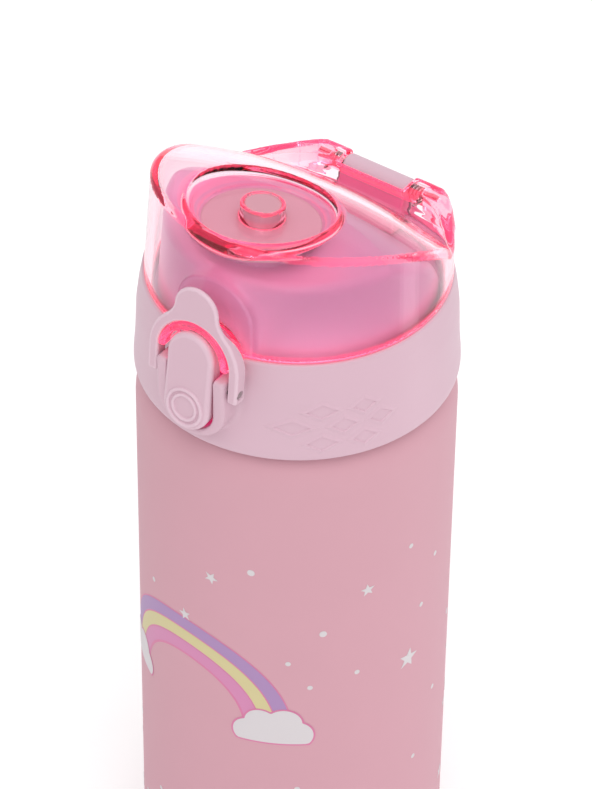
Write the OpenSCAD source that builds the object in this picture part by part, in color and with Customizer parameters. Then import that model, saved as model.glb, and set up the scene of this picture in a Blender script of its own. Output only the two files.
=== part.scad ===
// Kids' flip-top water bottle: frosted bottle, screw cap with a sprung clear lid,
// a rocking latch button and a swinging lock bail.
// +Z is up, the latch faces -Y, the hinge is at +Y and the base stands on z = 0.

/* [Bottle] */
// Outer diameter of the bottle
bottle_d = 70; // [66:0.5:74]
// Height of the collar's bottom edge above the base
collar_z = 158; // [130:1:190]
// Wall thickness of the bottle
bottle_wall = 2; // [1.6:0.1:2.4]
// Outer diameter of the threaded neck
neck_d = 46.8; // [46:0.1:47.2]
// Thread pitch, one start
thread_pitch = 4; // [3.8:0.1:4.4]
// Turns of thread on the neck and in the cap
thread_turns = 1.5; // [1:0.25:1.5]

/* [Collar] */
// Height of the collar from its bottom edge to the seam with the lid
collar_h = 24.4; // [24:0.1:25]
// Wall thickness of the collar
collar_wall = 2; // [1.8:0.1:2.2]

/* [Lid] */
// Wall thickness of the clear lid
lid_wall = 1.8; // [1.4:0.1:2]
// Angle by which the lid's wall leans back
lid_tilt = 2.5; // [1:0.1:3]
// Diameter of the round recess in the lid's top
recess_d = 33; // [30:0.5:34]
// How far the hinge pin is behind the bottle's axis
hinge_y = 30.2; // [30:0.1:30.4]
// Diameter of the hinge pin
hinge_pin_d = 1.8; // [1.6:0.1:2]

/* [Latch] */
// Width of the latch button
button_w = 11.4; // [11:0.1:11.6]
// Height of the latch button
button_h = 23.3; // [22.5:0.1:23.5]
// Angle by which the button's face leans back
button_lean = 8; // [6:1:9]
// Angle by which the lock bail leans back
bail_lean = 5; // [3:1:6]
// Outer width across the lock bail's arms
bail_w = 22.6; // [22:0.1:24]
// Diameter of the latch pin
latch_pin_d = 1.6; // [1.4:0.1:1.8]
// Radial clearance of pins in their bores
pin_gap = 0.05; // [0.03:0.01:0.08]

/* [Hidden] */
$fn = 96;
eps = 0.01;
far = 120;
bottle_r = bottle_d / 2;
seam_z = collar_z + collar_h;

// neck and shoulder
neck_r = neck_d / 2;
mouth_r = neck_r - 2.1;
neck_top = collar_z + 17;
shoulder_r = 13;
shoulder_z = collar_z - 9.5;
base_r = 6;
foot_in = 21;
foot_rise = 2.5;

// screw thread: ridge of the neck and ridge of the cap, in mesh with even gaps
ridge_h = 1.3;
thread_z = collar_z + 7;
ridge_steps = 30;

// screw cap
skirt_in = neck_r + 1.7;
skirt_wall = 2.2;
skirt_low = collar_z + 3.9;
gasket_t = 2;
flange_z = neck_top + gasket_t;
flange_t = 2;
collar_in = bottle_r - 0.95 - collar_wall;
flange_r = collar_in - 0.05;
turret_r = 29.7;
turret_draft = 3;
turret_wall = 1.8;
deck_z = collar_z + 41.2;
spout_y = -12.5;
spout_in = 7.5;
spout_out = 9.4;
spout_h = 2.6;
seal_gap = 0.25;

// clear lid: a leaning cone, cut by a barrel whose axis runs along X
lid_gap = 0.25;
lid_z = seam_z + lid_gap;
lid_r = 32.9;
lid_draft = 2.5;
lid_y = 0.3;
lid_rise = 40;
barrel_r = 54.3;
barrel_bow = 125;
barrel_y = -22.4;
barrel_z = collar_z - 2.4;
hinge_slab_z = collar_z + 32;
recess_r = recess_d / 2;
recess_z = collar_z + 46;
recess_wall = 1.6;
boss_r = 4.7;
boss_h = 3.4;
stem_r = 3.4;
seal_t = 1.6;
seal_r = 13.5;

// hinge
hinge_z = collar_z + 28.6;
hinge_r = hinge_pin_d / 2;
knuckle_r = 3;
knuckle_x = 8.3;
notch_x = 8.6;
lug_in = 12;
lug_out = 15.4;
pocket_x = 17.2;
pocket_z = collar_z + 22.8;
spring_wire = 0.3;
spring_r = 1.6;
spring_arc = 1010;
lid_leg = 3.6;
collar_leg = 5.2;
chamber_r = 2.3;
housing_back = 33.1;
housing_low = collar_z + 25.4;

// latch: button, its pin, the catch on the lid and the lock bail
pin_y = -36.7;
pin_z = collar_z + 19.3;
latch_r = latch_pin_d / 2;
button_r = button_w / 2;
button_bottom = collar_z + 7.4;
button_front = -40;
button_back = -37.8;
ring_drop = 6.4;
lever_r = 5.5;
lever_low_front = -39.6;
lever_back = -34.9;
lever_top = collar_z + 29.5;
hook_z = collar_z + 28.1;
hook_nose = -34.4;
slot_r = 6;
slot_bottom = button_bottom - 0.6;
ear_r = 8.2;
ear_top = collar_z + 21.8;
ear_bottom = collar_z + 5;
ear_front = -39;
pocket_floor = -33;
catch_r = 8.7;
catch_in = 7.2;
catch_z = collar_z + 24;
catch_bottom = collar_z + 22.3;
catch_front = -35.5;
ledge_front = -34.2;
ledge_low = collar_z + 26.3;
ledge_high = collar_z + 27.8;
bail_in = 8.95;
bail_r = bail_w / 2;
bail_front = -38.3;
bail_back = -37.15;
arm_back = -35.1;
arm_top = collar_z + 29;
bail_bottom = pin_z - 2.1;
tab_r = 5.4;
tab_z = collar_z + 36.2;
rest_spring_wire = 0.3;
rest_spring_r = 1.6;
rest_spring_z = collar_z + 10.8;

// ---------- shared shapes ----------

// A ridge that climbs round the Z axis, from radius r_wall to r_crest, tapered at both ends
module screw_ridge(r_wall, r_crest, z_start, a_start, turns) {
    n = round(turns * ridge_steps);
    taper = 4;
    rings = [for (i = [0:n])
        let (a = a_start + 360 * turns * i / n,
             z = z_start + thread_pitch * turns * i / n,
             k = min(1, (min(i, n - i) + 0.6) / taper),
             crest = r_wall + k * (r_crest - r_wall))
        for (p = [[r_wall, -1], [crest, -0.45], [crest, 0.45], [r_wall, 1]])
            [p[0] * cos(a), p[0] * sin(a), z + p[1] * (0.5 + 0.5 * k)]];
    sides = [for (i = [0:n - 1]) for (j = [0:3])
        [4 * i + j, 4 * i + (j + 1) % 4, 4 * (i + 1) + (j + 1) % 4, 4 * (i + 1) + j]];
    flip = r_crest < r_wall;
    start = flip ? [0, 1, 2, 3] : [3, 2, 1, 0];
    end = flip ? [4 * n + 3, 4 * n + 2, 4 * n + 1, 4 * n] : [4 * n, 4 * n + 1, 4 * n + 2, 4 * n + 3];
    faces = flip ? [for (f = sides) [f[3], f[2], f[1], f[0]]] : sides;
    polyhedron(rings, concat([start], faces, [end]));
}

function unit(v) = v / norm(v);

// A round wire along the points of path; flat is a direction that the wire never runs along
module wire(path, r, flat, sides = 8) {
    n = len(path);
    rings = [for (i = [0:n - 1])
        let (t = unit(path[min(i + 1, n - 1)] - path[max(i - 1, 0)]),
             u = unit(flat - t * (t * flat)),
             v = cross(t, u))
        for (j = [0:sides - 1])
            path[i] + r * (u * cos(360 * j / sides) + v * sin(360 * j / sides))];
    walls = [for (i = [0:n - 2]) for (j = [0:sides - 1])
        [sides * i + j, sides * (i + 1) + j,
         sides * (i + 1) + (j + 1) % sides, sides * i + (j + 1) % sides]];
    polyhedron(rings, concat([[for (j = [0:sides - 1]) j]], walls,
                             [[for (j = [sides - 1:-1:0]) sides * (n - 1) + j]]));
}

// An upright slot outline: half circles of radius r between the heights low and high
module slot_outline(r, low, high) {
    translate([0, low + r]) circle(r);
    translate([0, high - r]) circle(r);
    translate([-r, low + r]) square([2 * r, high - low - 2 * r]);
}

// Carries an outline drawn in X and Z from y = front to y = back
module front_plate(front, back) {
    translate([0, back, 0]) rotate([90, 0, 0]) linear_extrude(back - front) children();
}

// Leans its children back by an angle about the latch pin
module leaning(angle) {
    translate([0, pin_y, pin_z]) rotate([-angle, 0, 0]) translate([0, -pin_y, -pin_z]) children();
}

// A cylinder along X, centred on x = 0
module bar_x(r, half, y, z) {
    translate([-half, y, z]) rotate([0, 90, 0]) cylinder(r = r, h = 2 * half);
}

// The lid's leaning cone, drawn in by inset
module lid_cone(inset, z_low) {
    translate([0, lid_y, seam_z]) rotate([-lid_tilt, 0, 0])
        translate([0, 0, z_low])
            cylinder(r1 = lid_r - inset - z_low * tan(lid_draft),
                     r2 = lid_r - inset - lid_rise * tan(lid_draft), h = lid_rise - z_low);
}

// A barrel along X whose waist radius is barrel_r less inset
module barrel(inset) {
    translate([0, barrel_y, barrel_z]) rotate([0, 90, 0]) rotate_extrude()
        intersection() {
            translate([barrel_r - inset - barrel_bow, 0]) circle(barrel_bow, $fn = 180);
            translate([0, -40]) square([far, 80]);
        }
}

// Everything below a height, as a slab
module below(z) {
    translate([-far / 2, -far / 2, z - far]) cube([far, far, far]);
}

// The lid's outside (inset 0) or inside form
module lid_form(inset, z_low) {
    intersection() {
        lid_cone(inset, z_low);
        union() {
            barrel(inset);
            below(hinge_slab_z - inset);
        }
    }
}

// The round recess, from its floor up, leaning with the lid
module recess(r, drop) {
    translate([0, spout_y, recess_z]) rotate([-lid_tilt, 0, 0])
        translate([0, 0, -drop]) cylinder(r = r, h = 20 + drop);
}

// ---------- bottle ----------

module bottle_outline() {
    difference() {
        union() {
            translate([0, base_r]) square([bottle_r, shoulder_z - base_r]);
            square([bottle_r - base_r, shoulder_z]);
            translate([bottle_r - base_r, base_r]) circle(base_r);
            translate([0, shoulder_z]) square([bottle_r - shoulder_r, shoulder_r]);
            intersection() {
                translate([bottle_r - shoulder_r, shoulder_z]) circle(shoulder_r);
                translate([0, shoulder_z - 1]) square([far, far]);
            }
            square([neck_r, neck_top]);
        }
        translate([-far, -far]) square([far, 3 * far]);
    }
}

module bottle_hollow() {
    inner_r = bottle_r - bottle_wall;
    floor_z = foot_rise + bottle_wall;
    translate([0, floor_z + 4]) square([inner_r, shoulder_z - floor_z - 4]);
    translate([0, floor_z]) square([inner_r - 4, shoulder_z - floor_z]);
    intersection() {
        translate([inner_r - 4, floor_z + 4]) circle(4);
        translate([0, floor_z]) square([far, far]);
    }
    intersection() {
        translate([bottle_r - shoulder_r, shoulder_z]) circle(shoulder_r - bottle_wall);
        translate([0, shoulder_z - 1]) square([far, far]);
    }
    translate([0, shoulder_z]) square([bottle_r - shoulder_r, shoulder_r - bottle_wall]);
    square([mouth_r, neck_top + 1]);
}

module bottle_body() {
    color("pink") union() {
        rotate_extrude() difference() {
            bottle_outline();
            intersection() {
                bottle_hollow();
                translate([0, foot_rise + bottle_wall]) square([far, 2 * far]);
            }
            translate([0, -1]) square([foot_in, foot_rise + 1]);
        }
        screw_ridge(neck_r - 0.4, neck_r + ridge_h, thread_z, 0, thread_turns);
    }
}

module neck_gasket() {
    color("whitesmoke") translate([0, 0, neck_top]) difference() {
        cylinder(r = neck_r + 0.6, h = gasket_t);
        translate([0, 0, -1]) cylinder(r = mouth_r, h = gasket_t + 2);
    }
}

// ---------- screw cap ----------

module inner_cap() {
    skirt_out = skirt_in + skirt_wall;
    color("hotpink") difference() {
        union() {
            translate([0, 0, skirt_low]) cylinder(r = skirt_out, h = flange_z - skirt_low);
            translate([0, 0, flange_z]) cylinder(r = flange_r, h = flange_t);
            turret(0, flange_z);
            spout_rim(spout_out, spout_h);
        }
        difference() {
            translate([0, 0, collar_z]) cylinder(r = skirt_in, h = flange_z - collar_z);
            screw_ridge(skirt_in + 0.4, skirt_in - ridge_h, thread_z + thread_pitch / 2 - thread_pitch,
                        0, thread_turns);
        }
        translate([0, 0, flange_z - 1]) cylinder(r = mouth_r, h = flange_t + 1);
        turret(turret_wall, flange_z + flange_t - eps);
        spout_rim(spout_in, 10);
    }
}

// A disc that ends just under the lid's seal, leaning with it
module spout_rim(r, h) {
    translate([0, spout_y, recess_z]) rotate([-lid_tilt, 0, 0])
        translate([0, 0, -recess_wall - seal_t - seal_gap - h]) cylinder(r = r, h = h + eps);
}

// The upright dome that the drinker's mouth meets, drawn in by inset
module turret(inset, z_low) {
    h = deck_z - collar_z - collar_h;
    intersection() {
        translate([0, lid_y, seam_z]) rotate([-lid_tilt, 0, 0]) translate([0, 0, -8])
            cylinder(r1 = turret_r - inset + 8 * tan(turret_draft),
                     r2 = turret_r - inset - (h + 4) * tan(turret_draft), h = h + 12);
        barrel(lid_wall + 3 + inset);
        below(deck_z - inset);
        translate([-far / 2, -far / 2, z_low]) cube([far, far, far]);
    }
}

// Outline of the collar's wall: rounded foot, steep lower band, sloped upper band
module collar_outline() {
    polygon([[collar_in, 0.6], [collar_in + 0.6, 0], [bottle_r - 0.3, 0], [bottle_r + 0.1, 0.3],
             [bottle_r + 0.25, 1], [bottle_r + 0.25, 2.2], [bottle_r - 0.2, 7.7],
             [bottle_r - 0.5, 15.5], [bottle_r - 1.1, 20.3], [bottle_r - 1.8, collar_h - 0.3],
             [bottle_r - 2.1, collar_h], [30.6, collar_h], [30.6, 21], [collar_in, 21]]);
}

module collar_ring() {
    color("thistle") difference() {
        union() {
            translate([0, 0, collar_z]) rotate_extrude() collar_outline();
            difference() {
                intersection() {
                    front_plate(ear_front, -30) slot_outline(ear_r, ear_bottom, ear_top + ear_r);
                    below(ear_top);
                }
                translate([0, 0, collar_z - 1]) cylinder(r = collar_in, h = collar_h);
            }
        }
        // opening of the U-shaped surround, and the pocket behind the button
        front_plate(ear_front - 5, pocket_floor) slot_outline(slot_r, slot_bottom, seam_z + 10);
        // pocket that the lid's rear wall swings into
        translate([-pocket_x, 24, pocket_z]) cube([2 * pocket_x, 20, 10]);
        bar_x(latch_r + pin_gap, ear_r + 1, pin_y, pin_z);
    }
    color("thistle") hinge_knuckle();
}

module hinge_knuckle() {
    difference() {
        union() {
            bar_x(knuckle_r, knuckle_x, hinge_y, hinge_z);
            translate([-knuckle_x, hinge_y - knuckle_r, pocket_z - 1])
                cube([2 * knuckle_x, 2 * knuckle_r, hinge_z - pocket_z + 1]);
        }
        bar_x(hinge_r + pin_gap, knuckle_x + 1, hinge_y, hinge_z);
    }
}

// ---------- lid ----------

module lid_shell() {
    color("deeppink", 0.5) difference() {
        union() {
            difference() {
                union() {
                    lid_form(0, -5);
                    hinge_housing();
                }
                difference() {
                    lid_form(lid_wall, -6);
                    recess(recess_r + recess_wall, recess_wall);
                }
                recess(recess_r, 0);
                below(lid_z);
                translate([-pocket_x, 27, collar_z]) cube([2 * pocket_x, 20, housing_low - collar_z]);
            }
            intersection() {
                recess(boss_r, 0.5);
                translate([0, spout_y, recess_z]) rotate([-lid_tilt, 0, 0]) below(boss_h);
            }
            for (side = [-1, 1])
                translate([side * (lug_in + lug_out) / 2, 0, 0])
                    bar_x(knuckle_r - 0.1, (lug_out - lug_in) / 2, hinge_y, hinge_z);
            catch();
        }
        recess(stem_r + pin_gap, 3);
        bar_x(hinge_r + pin_gap, lug_out + 0.2, hinge_y, hinge_z);
        // notch for the knuckle, with a chamber for a spring at each end
        translate([-notch_x, hinge_y - knuckle_r - 0.8, collar_z]) cube([2 * notch_x, 20, 60]);
        bar_x(chamber_r, lug_in, hinge_y, hinge_z);
        translate([-lug_in, hinge_y - 5, collar_z + 20]) cube([2 * lug_in, 5, 10.2]);
    }
}

// The lid's rear corners, which stand out past the cone to hold the hinge pin
module hinge_housing() {
    half = [[11.8, housing_back], [13, 32.4], [17.5, 29.3], [23.3, 24.1], [26, 20]];
    translate([0, 0, lid_z]) linear_extrude(hinge_slab_z - lid_z)
        polygon(concat(half, [for (i = [len(half) - 1:-1:0]) [-half[i][0], half[i][1]]]));
}

// The hood on the lid's front that the button's hook reaches into, with its ledge
module catch() {
    difference() {
        union() {
            difference() {
                front_plate(catch_front, -31) slot_outline(catch_r, catch_z - 2 * catch_r, catch_z + catch_r);
                front_plate(catch_front - 1, -30) slot_outline(catch_in, catch_z - 20, catch_z + catch_in);
                below(catch_bottom);
            }
            intersection() {
                translate([-catch_r, ledge_front, ledge_low])
                    cube([2 * catch_r, -31 - ledge_front, ledge_high - ledge_low]);
                front_plate(ledge_front, -31)
                    slot_outline(catch_in + 0.5, catch_z - 20, catch_z + catch_in + 0.5);
            }
        }
        lid_form(lid_wall / 2, -5);
        intersection() {
            translate([0, 0, collar_z]) cylinder(r = 34.4, h = far);
            below(lid_z);
        }
    }
}

module lid_seal() {
    color("rosybrown") translate([0, spout_y, recess_z]) rotate([-lid_tilt, 0, 0]) {
        translate([0, 0, -recess_wall - seal_t]) cylinder(r = seal_r, h = seal_t);
        translate([0, 0, -recess_wall]) cylinder(r = stem_r, h = recess_wall + boss_h - 0.1);
    }
}

// ---------- hinge ----------

module hinge_pin() {
    color("silver") bar_x(hinge_r, lug_out - 0.1, hinge_y, hinge_z);
}

// A torsion spring round the pin: its inner leg presses on the collar, its outer leg under the lid
module hinge_spring(side) {
    steps = round(spring_arc / 22.5);
    x_inner = notch_x + 0.3 + spring_wire;
    x_outer = lug_in - 0.2 - spring_wire;
    coil = [for (i = [0:steps])
        let (a = 180 - spring_arc * i / steps)
            [side * (x_inner + (x_outer - x_inner) * i / steps),
             hinge_y + spring_r * cos(a), hinge_z + spring_r * sin(a)]];
    a_end = 180 - spring_arc;
    path = concat([coil[0] - [0, 0, collar_leg]], coil,
                  [coil[steps] + lid_leg * [0, sin(a_end), -cos(a_end)]]);
    color("silver") wire(path, spring_wire, [1, 0, 0]);
}

module hinge_spring_left() {
    hinge_spring(-1);
}

module hinge_spring_right() {
    hinge_spring(1);
}

// ---------- latch ----------

module latch_button() {
    button_top = button_bottom + button_h;
    color("thistle") difference() {
        union() {
            leaning(button_lean) {
                front_plate(button_front, button_back) slot_outline(button_r, button_bottom, button_top);
                // raised ring that marks where to press
                translate([0, button_front, pin_z - ring_drop]) rotate([90, 0, 0]) difference() {
                    cylinder(r = 4.3, h = 0.4);
                    translate([0, 0, 0.15]) cylinder(r = 3, h = 1);
                }
            }
            front_plate(lever_low_front, lever_back)
                slot_outline(lever_r, button_bottom + 0.3, pin_z + 1.4);
            front_plate(button_back - eps, lever_back - 0.7)
                slot_outline(lever_r, button_bottom + 0.3, lever_top);
            front_plate(button_back - eps, lever_back)
                slot_outline(lever_r, button_bottom + 0.3, pin_z + lever_r - 1);
            intersection() {
                front_plate(button_back - eps, hook_nose) slot_outline(lever_r, hook_z - 12, lever_top);
                translate([-far / 2, -far / 2, hook_z]) cube(far);
            }
        }
        bar_x(latch_r + pin_gap, button_r + 1, pin_y, pin_z);
        translate([0, 0, rest_spring_z]) rotate([90, 0, 0])
            translate([0, 0, -lever_back - 1]) cylinder(r = 2.3, h = 3.9);
    }
}

module latch_pin() {
    color("silver") bar_x(latch_r, bail_r - 0.2, pin_y, pin_z);
}

// A compression spring behind the button's lower half
module button_spring() {
    n = 12;
    turns = 3;
    y_end = pocket_floor - rest_spring_wire - 0.05;
    y_start = lever_back - 2.9 + rest_spring_wire + 0.05;
    path = [for (i = [0:turns * n])
        let (a = 360 * i / n, f = i / (turns * n))
        [rest_spring_r * cos(a), y_start + f * (y_end - y_start), rest_spring_z + rest_spring_r * sin(a)]];
    color("silver") wire(path, rest_spring_wire, [0, 1, 0]);
}

module bail_outline() {
    difference() {
        union() {
            slot_outline(bail_r, bail_bottom - bail_r, catch_z + bail_r);
            slot_outline(tab_r, tab_z - 3 * tab_r, tab_z + tab_r);
        }
        slot_outline(bail_in, bail_bottom - 3 * bail_in, catch_z + bail_in);
        translate([-far / 2, bail_bottom - far]) square([far, far]);
    }
}

module lock_bail() {
    color("thistle") difference() {
        leaning(bail_lean) {
            front_plate(bail_front, bail_back) bail_outline();
            // the arms beside the catch are deeper than the arch over it
            front_plate(bail_front, arm_back) intersection() {
                bail_outline();
                for (low_x = [-far, bail_in])
                    translate([low_x, 0]) square([far - bail_in, arm_top]);
            }
        }
        bar_x(latch_r + pin_gap, bail_r + 1, pin_y, pin_z);
    }
}

bottle_body();
neck_gasket();
collar_ring();
inner_cap();
lid_shell();
lid_seal();
hinge_pin();
hinge_spring_left();
hinge_spring_right();
latch_button();
latch_pin();
button_spring();
lock_bail();
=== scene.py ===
"""Kids' flip-top water bottle: the looks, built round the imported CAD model.

Shapes are made in millimetres, with heights measured from the collar's bottom edge,
and written to the meshes in metres. Moulded parts are implicit surfaces, so that every
edge has its real rounding; round parts are turned profiles; springs are swept wires.
"""
import math

import bpy
import numpy as np
from mathutils import Matrix, Vector


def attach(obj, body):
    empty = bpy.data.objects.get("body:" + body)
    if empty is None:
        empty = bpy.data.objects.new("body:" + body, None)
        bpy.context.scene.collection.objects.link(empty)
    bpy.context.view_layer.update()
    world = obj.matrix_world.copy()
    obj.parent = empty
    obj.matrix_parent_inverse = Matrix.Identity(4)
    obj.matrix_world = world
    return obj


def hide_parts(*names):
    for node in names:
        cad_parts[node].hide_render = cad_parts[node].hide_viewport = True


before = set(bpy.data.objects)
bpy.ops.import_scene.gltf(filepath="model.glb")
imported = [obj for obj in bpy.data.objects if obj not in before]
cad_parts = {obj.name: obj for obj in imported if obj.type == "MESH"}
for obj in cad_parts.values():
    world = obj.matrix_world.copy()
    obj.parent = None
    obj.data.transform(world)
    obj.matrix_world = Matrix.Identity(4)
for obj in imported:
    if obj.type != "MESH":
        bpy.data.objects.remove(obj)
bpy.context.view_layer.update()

MM = 0.001
COLLAR_Z = 158.0
rng = np.random.default_rng(7)


# ---------------------------------------------------------------- implicit shapes

def rad(deg):
    return math.radians(deg)


def both(a, b, r=0.0):
    """Where both shapes are, with outer edges rounded to radius r."""
    if r <= 0:
        return np.maximum(a, b)
    return np.minimum(-r, np.maximum(a, b)) + np.hypot(np.maximum(a + r, 0), np.maximum(b + r, 0))


def either(a, b, r=0.0):
    """Where either shape is, with inner corners filled to radius r."""
    return -both(-a, -b, r)


def less(a, b, r=0.0):
    """The first shape with the second cut away, and the cut's rim rounded to radius r."""
    return both(a, -b, r)


def melt(a, b, k):
    """Union with a soft blend about k wide."""
    h = np.maximum(k - np.abs(a - b), 0) / k
    return np.minimum(a, b) - h * h * k / 4


def slot(x, z, r, low, high):
    """Upright slot between two heights, seen from the front."""
    return np.hypot(x, z - np.clip(z, low + r, high - r)) - r


def slab(v, low, high):
    """Between two planes."""
    return np.maximum(low - v, v - high)


def smooth(v, low, high):
    """0 below low, 1 above high, and a smooth step between."""
    t = np.clip((v - low) / (high - low), 0, 1)
    return t * t * (3 - 2 * t)


def polygon(u, v, pts):
    """Signed distance to a closed outline."""
    pts = np.asarray(pts, float)
    best = np.full(u.shape, 1e9)
    inside = np.zeros(u.shape, bool)
    for (ax, ay), (bx, by) in zip(pts, np.roll(pts, -1, 0)):
        ex, ey = bx - ax, by - ay
        t = np.clip(((u - ax) * ex + (v - ay) * ey) / (ex * ex + ey * ey), 0, 1)
        best = np.minimum(best, (u - ax - t * ex) ** 2 + (v - ay - t * ey) ** 2)
        if ay != by:
            inside ^= ((ay > v) != (by > v)) & (u < (v - ay) * ex / ey + ax)
    return np.where(inside, -1, 1) * np.sqrt(best)


def lean(y, z, y0, z0, deg):
    """Coordinates in a frame at (y0, z0) whose upright axis leans back by deg."""
    s, c = math.sin(rad(deg)), math.cos(rad(deg))
    return (y - y0) * c - (z - z0) * s, (y - y0) * s + (z - z0) * c


def bar(x, y, z, r, low, high, y0, z0, edge=0.3):
    """Round bar along X."""
    return both(np.hypot(y - y0, z - z0) - r, slab(x, low, high), edge)


# ---------------------------------------------------------------- meshing

def in_metres(verts):
    """Points with heights from the collar's bottom, in millimetres, as the scene has them."""
    return (verts + [0, 0, COLLAR_Z]) * MM


def linked(name, data):
    """A new object in the scene that shows the data."""
    ob = bpy.data.objects.new(name, data)
    bpy.context.scene.collection.objects.link(ob)
    return ob


def to_object(name, verts, faces, normals=None):
    """A smooth object from points in millimetres and quads."""
    verts = np.asarray(verts, float)
    faces = np.asarray(faces, int)
    me = bpy.data.meshes.new(name)
    me.vertices.add(len(verts))
    me.vertices.foreach_set("co", in_metres(verts).astype(np.float32).ravel())
    k = faces.shape[1]
    me.loops.add(faces.size)
    me.loops.foreach_set("vertex_index", faces.ravel().astype(np.int32))
    me.polygons.add(len(faces))
    me.polygons.foreach_set("loop_start", (np.arange(len(faces)) * k).astype(np.int32))
    me.update(calc_edges=True)
    me.validate()
    me.shade_smooth()
    if normals is not None:
        me.normals_split_custom_set_from_vertices(normals.astype(np.float32))
    return linked(name, me)


def gradient(f, p, h=0.01):
    """Slope of f at the points p."""
    g = np.empty_like(p)
    for i in range(3):
        d = np.zeros(3)
        d[i] = h
        g[:, i] = (f(*(p + d).T) - f(*(p - d).T)) / (2 * h)
    return g


def painted_lighting(ob, values):
    """Stores one number for each vertex, the amount of painted light or shade, which the object's
    material reads.
    """
    layer = ob.data.attributes.new("painted_lighting", "FLOAT", "POINT")
    layer.data.foreach_set("value", np.clip(values, 0, 1).astype(np.float32))


def bend(f, p, h=0.12):
    """How sharply the surface turns outward at the points p, in 1/mm."""
    total = -6 * f(*p.T)
    for i in range(3):
        d = np.zeros(3)
        d[i] = h
        total = total + f(*(p + d).T) + f(*(p - d).T)
    return total / h ** 2


def painted_edge_highlight(f):
    """A painted edge highlight for skin(): lighter colour that rises where the shape f turns sharply
    outward.
    """
    return lambda p: 0.6 * smooth(bend(f, p), 0.4, 1.6)


def skin(name, f, low, high, step, painted_lighting_at=None):
    """Closed mesh of the surface f = 0 inside a box, by surface nets, pulled onto the surface.

    Each crossed cell gets a point, and each crossed grid line a quad of the four cells round it.
    The last argument gives, from the points, the amount of painted light or shade stored for the
    material.
    """
    pulls, reach = 5, 0.8 * step
    axes = [np.arange(a, b + step, step) for a, b in zip(low, high)]
    shape = tuple(len(a) for a in axes)
    v = np.empty(shape)
    for i, x in enumerate(axes[0]):
        yy, zz = np.meshgrid(axes[1], axes[2], indexing="ij")
        v[i] = f(np.full(yy.shape, x), yy, zz)
    ins = v < 0
    cells = tuple(n - 1 for n in shape)
    total = np.zeros(cells + (3,))
    count = np.zeros(cells)
    corner = [(a, b, c) for a in (0, 1) for b in (0, 1) for c in (0, 1)]

    def part(arr, o):
        return arr[o[0]:o[0] + cells[0], o[1]:o[1] + cells[1], o[2]:o[2] + cells[2]]

    for a in corner:
        for axis in range(3):
            if a[axis] == 0:
                b = tuple(1 if i == axis else a[i] for i in range(3))
                va, vb = part(v, a), part(v, b)
                hit = part(ins, a) != part(ins, b)
                t = np.where(hit, va / np.where(hit, va - vb, 1), 0)
                for i in range(3):
                    total[..., i] += hit * (a[i] + (t if i == axis else 0))
                count += hit
    active = count > 0
    where = np.argwhere(active)
    start = (where + total[active] / count[active][:, None]) * step + [a[0] for a in axes]
    index = np.full(cells, -1)
    index[active] = np.arange(len(where))
    p = start.copy()
    for _ in range(pulls):
        g = gradient(f, p)
        p -= (f(*p.T) / np.maximum((g * g).sum(1), 0.05))[:, None] * g
        far = p - start
        size = np.linalg.norm(far, axis=1)
        over = size > reach
        p[over] = start[over] + far[over] * (reach / size[over])[:, None]
    faces = []
    for axis in range(3):
        u, w = (axis + 1) % 3, (axis + 2) % 3
        sl = [slice(None)] * 3
        a, b = list(sl), list(sl)
        a[axis], b[axis] = slice(0, -1), slice(1, None)
        edge = ins[tuple(a)] != ins[tuple(b)]
        out = ins[tuple(a)] & edge
        trim = [slice(None)] * 3
        trim[u], trim[w] = slice(1, -1), slice(1, -1)
        at = np.argwhere(edge[tuple(trim)])
        at[:, u] += 1
        at[:, w] += 1
        ring = []
        for du, dw in ((1, 1), (0, 1), (0, 0), (1, 0)):
            q = at.copy()
            q[:, u] -= du
            q[:, w] -= dw
            ring.append(index[tuple(q.T)])
        ring = np.stack(ring, 1)
        flip = ~out[tuple(at.T)]
        ring[flip] = ring[flip][:, ::-1]
        faces.append(ring)
    n = gradient(f, p)
    n /= np.maximum(np.linalg.norm(n, axis=1), 1e-9)[:, None]
    ob = to_object(name, p, np.concatenate(faces), n)
    # painted light or shade for the material, from the points
    if painted_lighting_at:
        painted_lighting(ob, painted_lighting_at(p))
    return ob


def turned(name, profile, segments=256):
    """Closed solid of revolution about Z from a closed (r, z) outline."""
    profile = np.asarray(profile, float)
    n = len(profile)
    a = np.linspace(0, 2 * math.pi, segments, endpoint=False)
    r, z = profile.T
    verts = np.stack([np.outer(np.cos(a), r), np.outer(np.sin(a), r),
                      np.broadcast_to(z, (segments, n))], -1).reshape(-1, 3)
    i, j = np.meshgrid(np.arange(segments), np.arange(n), indexing="ij")
    i2, j2 = (i + 1) % segments, (j + 1) % n
    quads = np.stack([i * n + j, i2 * n + j, i2 * n + j2, i * n + j2], -1).reshape(-1, 4)
    return to_object(name, verts, quads)


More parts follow.
